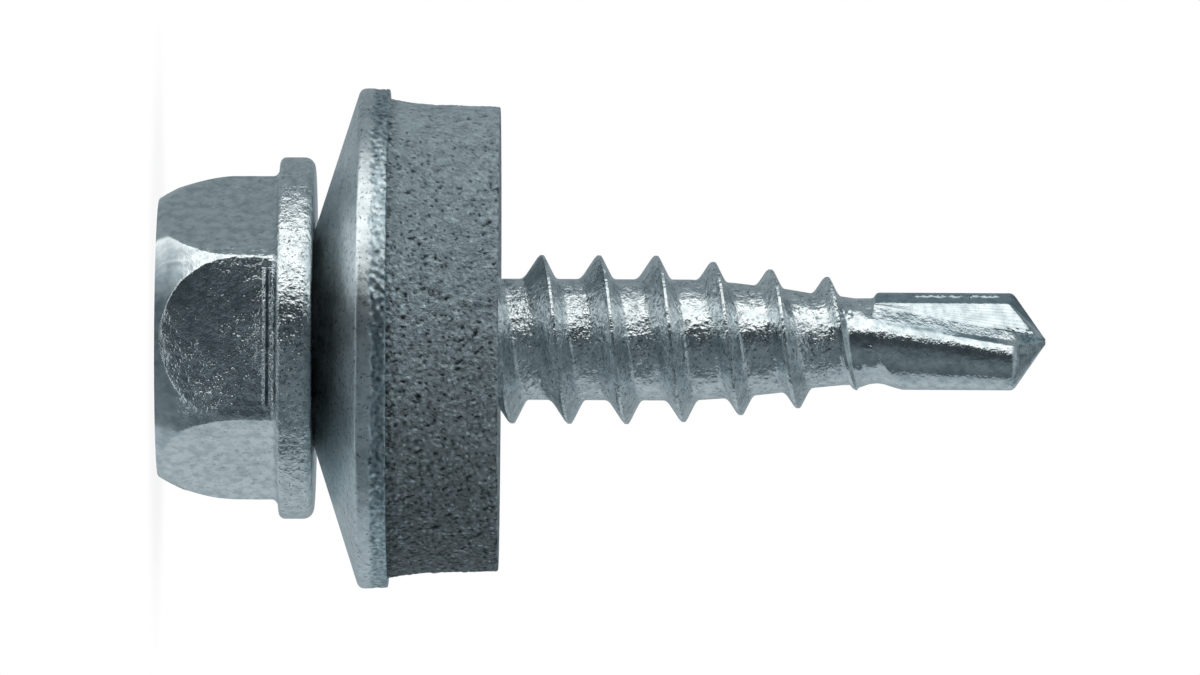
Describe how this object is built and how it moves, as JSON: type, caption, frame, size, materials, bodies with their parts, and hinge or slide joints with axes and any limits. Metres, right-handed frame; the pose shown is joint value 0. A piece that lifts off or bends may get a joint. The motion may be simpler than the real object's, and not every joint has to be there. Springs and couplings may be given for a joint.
{
  "type": "self drilling screw",
  "caption": "Self drilling screw: flanged hexagon head, coarse thread that tapers to a fluted drill point, and a captive sealing washer of dished metal with a bonded rubber seal.",
  "frame": {"origin": "centre of the head's flat top face, on which the screw stands with its point up", "axes": "+Z along the screw's axis from the head to the drill point; one flat of the hexagon faces -Y"},
  "size_m": [0.014, 0.014, 0.0248],
  "materials": {
    "screw_steel": "bright zinc plate on hardened steel",
    "washer_steel": "zinc-plated pressed sheet, slightly duller than the screw",
    "seal_rubber": "matt grey rubber, pitted"
  },
  "bodies": {
    "screw": {"screw": "screw_steel"},
    "sealing_washer": {"metal_washer": "washer_steel", "rubber_seal": "seal_rubber"}
  },
  "joints": [
    {"name": "washer_spin", "type": "hinge", "parent": "screw", "child": "sealing_washer", "pos_m": [0, 0, 0.00438], "axis": [0, 0, 1], "continuous": true}
  ]
}
